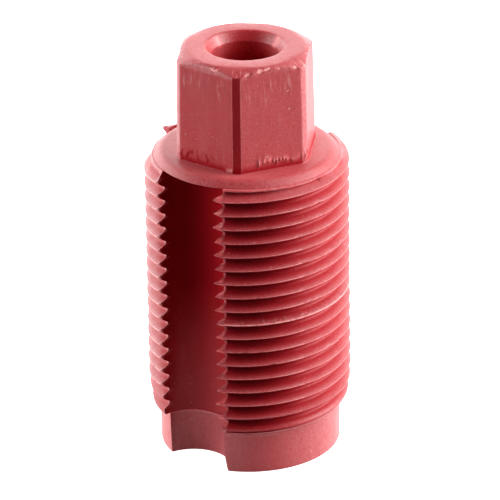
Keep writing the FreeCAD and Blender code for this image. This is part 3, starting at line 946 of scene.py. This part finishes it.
def body_looks(co):
    radius, azimuth = around(co)
    z = co[:, 2]
    # a scuffed band runs along two turns of the right-hand land
    band = hump(z - 0.005 * (azimuth - FRONT_AZIMUTH), 11.45, 0.5) * between(azimuth, 20.0, 130.0)
    wear_and_highlight, crest = thread_wear_and_highlight(radius, azimuth, z, band)
    grime_and_shade = thread_painted_shade(azimuth, z)
    flash = in_flash(co, radius)
    scuff = 0.12 * rise(radius, 6.8, 0.1) + 0.85 * band * (radius > 6.5) + 0.8 * flash
    # the flutes are darker high up and paler low down, and their lips are torn and pale
    on_circle = np.abs(flute_distance(co) - FLUTE_RADIUS) < 0.02
    at_lip = on_circle & (radius > thread_radius(azimuth, z, False) - 0.06)
    flute = on_circle & ~at_lip
    torn_edge = flash | at_lip
    speckle = np.clip(0.4 + 1.8 * rough(co, 5.0, 11.0), 0.0, 1.0)
    torn = np.where(azimuth > 0.0, 0.81 + (0.12 + 0.07 * rise(z, 10.5, 7.0)) * speckle, 0.90)
    wear_and_highlight = np.where(torn_edge, torn, wear_and_highlight)
    # painted highlights on the pale tips where the grooves and the turns end at the front flute's left lip
    phase = np.mod(z - crest_level(azimuth), PITCH)
    left_lip = between(azimuth, -27.0, -15.0) & (radius > 6.1) & (z < COLLAR_BASE - 0.4)
    wear_and_highlight = np.where(left_lip & between(phase, 0.55, 0.65), 0.95, wear_and_highlight)
    crest_end = between(azimuth, -33.0, -22.0) & (crest > 0.5)
    wear_and_highlight = np.where(crest_end, np.maximum(wear_and_highlight, 0.80 + 0.18 * speckle), wear_and_highlight)
    low_down = fall(z, 14.0, 9.0)
    wear_and_highlight = np.where(flute, 0.16 * low_down, wear_and_highlight)
    scuff = np.where(flute, 0.0, scuff)
    grime_and_shade = np.where(flute, 0.16 - 0.12 * low_down, np.where(torn_edge, 0.0, grime_and_shade))
    return wear_and_highlight, scuff, grime_and_shade


def nose_looks(co):
    radius, azimuth = around(co)
    z = co[:, 2]
    flute = between(radius, 3.5, NOSE_RADIUS - 0.055) & (z < BODY_BASE - 0.01)
    nick = hump(azimuth, 42.0, 2.5) * hump(z, 1.9, 0.4)
    # painted sheen: the nose is least pale round azimuth 42, near FRONT_AZIMUTH, and paler on its sides
    wear_and_highlight = 0.86 - 0.44 * hump(azimuth, 42.0, 30.0) + 0.06 * (azimuth < -15.0)
    # painted light at the rim that shows under the thread, lifting the shadow of the overhang above it
    wear_and_highlight = np.maximum(wear_and_highlight, 0.89 * hump(z, 2.76, 0.07))
    # the flute is half pale, with a painted highlight along its top edge
    wear_and_highlight = np.where(flute, 0.45 + 0.50 * (z > BODY_BASE - 0.07), wear_and_highlight)
    return wear_and_highlight, 0.03 + 0.9 * nick, np.zeros(len(co))


def cap_looks(co):
    radius, azimuth = around(co)
    z = co[:, 2]
    marks = pick_marks(azimuth, z)
    from_middle = np.abs(from_face_middle(azimuth))
    from_front = np.mod(azimuth - FRONT_AZIMUTH, 360.0)
    on_head = (z > COLLAR_TOP + 0.02) & (radius > 4.0)
    # the head: worn at its top edge, its corners and its dents
    # painted shade: the face left of the front corner is less pale low down
    shady_face = (np.abs(azimuth) < 27.0) & (z < TOP - 0.6)
    head = (
        0.12 + (0.33 - 0.22 * shady_face) * rise(z, COLLAR_TOP, 0.55) + 0.36 * tent(z, TOP - 0.25, 0.3)
        + 0.3 * tent(from_middle, 26.6, 0.8) + 0.8 * marks + 0.5 * rim_dents(co, radius, azimuth)
    )
    # the corner facets: painted highlights on all but the one at the front, which is left dark as painted shade
    facet = on_head & (from_middle > 26.95) & (z < TOP - 0.5)
    facet_highlight = np.where(np.abs(azimuth - 30.0) < 10.0, 0.04, 0.84)
    # the countersink: pale at its left and its right, as the photo shows it lit
    sunk = between(radius, 2.2, 2.9) & between(z, TOP - 0.75, TOP - 0.01)
    shine = hump(from_front, 228.0, 20.0) + hump(from_front, 120.0, 22.0)
    # hidden and inner faces, then the flat top, and the collar for the rest
    bare = (radius < OUTLET_RADIUS + 0.02) | ((z < COLLAR_BASE + 0.01) & (radius < COLLAR_RADIUS - 0.01))
    # painted sheen: the collar is paler on its front, towards FRONT_AZIMUTH
    collar = 0.46 + 0.24 * hump(np.minimum(from_front, 360.0 - from_front), 0.0, 42.0)
    wear_and_highlight = np.select(
        (facet, on_head, sunk, bare, z > TOP - 0.02),
        (facet_highlight, head, np.minimum(0.36 + 0.60 * shine, 0.97), 0.06, 0.42), collar,
    )
    # scratches under the top edge, and at the foot of the left face
    high = hump(z, TOP - 1.5, 0.75)
    low = hump(z, COLLAR_TOP + 0.8, 0.5) * tent(azimuth, 0.0, 25.0)
    scuff = np.where(on_head & (from_middle < 26.9), 0.01 + 0.75 * high + 0.5 * low, 0.0)
    # painted shade round the foot, and dirt in short dark scuffs on the left face
    grime_and_shade = 0.35 * fall(z, COLLAR_TOP + 0.50, 0.45) * on_head * (1.0 - marks)
    dashes = np.clip(3.0 * rough(co * np.array([1.0, 1.0, 0.25]), 6.5, 33.0), 0.0, 1.0)
    left_foot = hump(z, COLLAR_TOP + 0.55, 0.28) * between(azimuth, -27.0, 8.0) * on_head
    grime_and_shade = np.maximum(grime_and_shade, 0.75 * dashes * left_foot)
    # painted shade in the hole, darkest on the wall that faces FRONT_AZIMUTH
    far = hump(from_front, 180.0, 38.0)
    grime_and_shade = np.where((radius < OUTLET_RADIUS + 0.02) & (z < TOP - 0.75), 0.34 * far, grime_and_shade)
    # painted shade on the countersink's far side too
    grime_and_shade = np.where(sunk, 0.18 * far, grime_and_shade)
    return wear_and_highlight, scuff, grime_and_shade


def plain_looks(co):
    return (np.zeros(len(co)),) * 3


# ---- the pieces ----
casing_parts = (
    ("threaded_body", build_body, body_looks),
    ("nose_ring", build_nose, nose_looks),
    ("hex_cap", build_cap, cap_looks),
)
for part_name, build, looks in casing_parts:
    finish_mesh(part_name + "_casing", build(), casing, [part_name], looks)

finish_mesh(
    "outlet_felt_pad", lumpy_ring("outlet_felt", 0.0, 3.0, 0.06), felt, ["outlet_felt"], plain_looks
)
finish_mesh(
    "silencing_sleeve_beads", lumpy_ring("silencing_sleeve", SLEEVE_BORE_RADIUS, 3.6, 0.06), porous,
    ["silencing_sleeve"], plain_looks,
)

NODE_FINISH = {
    "core_tube": core, "crown_plug": core,
    "inlet_screen": screen, "outlet_screen": screen,
    "retaining_ring": steel, "cap_dowels": steel, "nose_dowels": steel,
}
for node_name, finish in NODE_FINISH.items():
    for material_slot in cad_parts[node_name].material_slots:
        material_slot.material = finish

# ---- floor ----
FLOOR_HALF_SIDE = 1.5
FLOOR_CLEARANCE = 0.00001


def pale_floor():
    material, tree, shader = nodes_of("pale_floor")
    pattern = noise_at(tree, object_place(tree), 30.0, 3.0, 0.5)
    base = mix_colour(tree, pattern, (0.86, 0.86, 0.86, 1), (0.90, 0.90, 0.90, 1))
    tree.links.new(base, shader.inputs["Base Color"])
    shader.inputs["Roughness"].default_value = 0.9
    # a light table: a little light of its own keeps the shadows on it faint
    shader.inputs["Emission Color"].default_value = WHITE
    shader.inputs["Emission Strength"].default_value = 1.2
    return material


floor_bm = bmesh.new()
bmesh.ops.create_grid(floor_bm, x_segments=8, y_segments=8, size=FLOOR_HALF_SIDE)
floor_mesh = bpy.data.meshes.new("floor")
floor_bm.to_mesh(floor_mesh)
floor_bm.free()
floor_mesh.materials.append(pale_floor())
floor = bpy.data.objects.new("floor", floor_mesh)
floor.location.z = cad_low[2] - FLOOR_CLEARANCE
bpy.context.scene.collection.objects.link(floor)
# the floor shows, takes shadows and mirrors in the gloss, but throws no light up under the thread
floor.visible_diffuse = False

# ---- camera and light ----
VIEW_ELEVATION = 24.497
VIEW_ROLL = -0.862
VIEW_DISTANCE = 0.319
FOCAL_LENGTH = 337.2
SENSOR_WIDTH = 36.0
SOFTBOX_DISTANCE = 0.45
SOFTBOX_SIDE = 0.36
# azimuth from the camera's, towards the right of the picture, then elevation and power, which started from a
# fit to the photo's levels
SOFTBOXES = {
    "softbox_right": (90.0, 12.0, 3.75),
    "softbox_left": (-90.0, 12.0, 2.2),
    "softbox_back_left": (-135.0, 12.0, 1.9),
    "softbox_back": (180.0, 12.0, 1.35),
    "softbox_back_right": (135.0, 12.0, 1.0),
    "softbox_high_right": (90.0, 50.0, 1.35),
    "softbox_high_left": (-120.0, 50.0, 0.2),
}
target = Vector((0.0, 0.0, 0.0138))


def direction(azimuth, elevation):
    a, e = math.radians(azimuth), math.radians(elevation)
    return Vector((math.sin(a) * math.cos(e), -math.cos(a) * math.cos(e), math.sin(e)))


def facing_back(away):
    """The rotation of a camera or lamp that stands in a direction from the target and looks back at it."""
    return (-away).to_track_quat("-Z", "Y")


camera_data = bpy.data.cameras.new("camera")
camera_data.sensor_width = SENSOR_WIDTH
camera_data.lens = FOCAL_LENGTH
camera_data.clip_start = 0.01
camera_data.clip_end = 20.0
camera = bpy.data.objects.new("camera", camera_data)
bpy.context.scene.collection.objects.link(camera)
back = direction(FRONT_AZIMUTH, VIEW_ELEVATION)
level = facing_back(back)
camera.rotation_mode = "QUATERNION"
camera.rotation_quaternion = level @ Quaternion((0.0, 0.0, 1.0), math.radians(VIEW_ROLL))
# the object stands a little left of the middle of the frame
aside = level @ Vector((0.000136, 0.000034, 0.0))
camera.location = target + back * VIEW_DISTANCE + aside
bpy.context.scene.camera = camera

for softbox, (azimuth, elevation, power) in SOFTBOXES.items():
    lamp_data = bpy.data.lights.new(softbox, "AREA")
    lamp_data.shape = "SQUARE"
    lamp_data.size = SOFTBOX_SIDE
    lamp_data.energy = power
    lamp = bpy.data.objects.new(softbox, lamp_data)
    away = direction(FRONT_AZIMUTH + azimuth, elevation)
    lamp.location = target + away * SOFTBOX_DISTANCE
    lamp.rotation_mode = "QUATERNION"
    lamp.rotation_quaternion = facing_back(away)
    bpy.context.scene.collection.objects.link(lamp)

world = bpy.data.worlds.new("studio")
world.use_nodes = True
background = world.node_tree.nodes["Background"]
background.inputs["Color"].default_value = WHITE
background.inputs["Strength"].default_value = 0.03
bpy.context.scene.world = world
bpy.context.scene.view_settings.view_transform = "Standard"
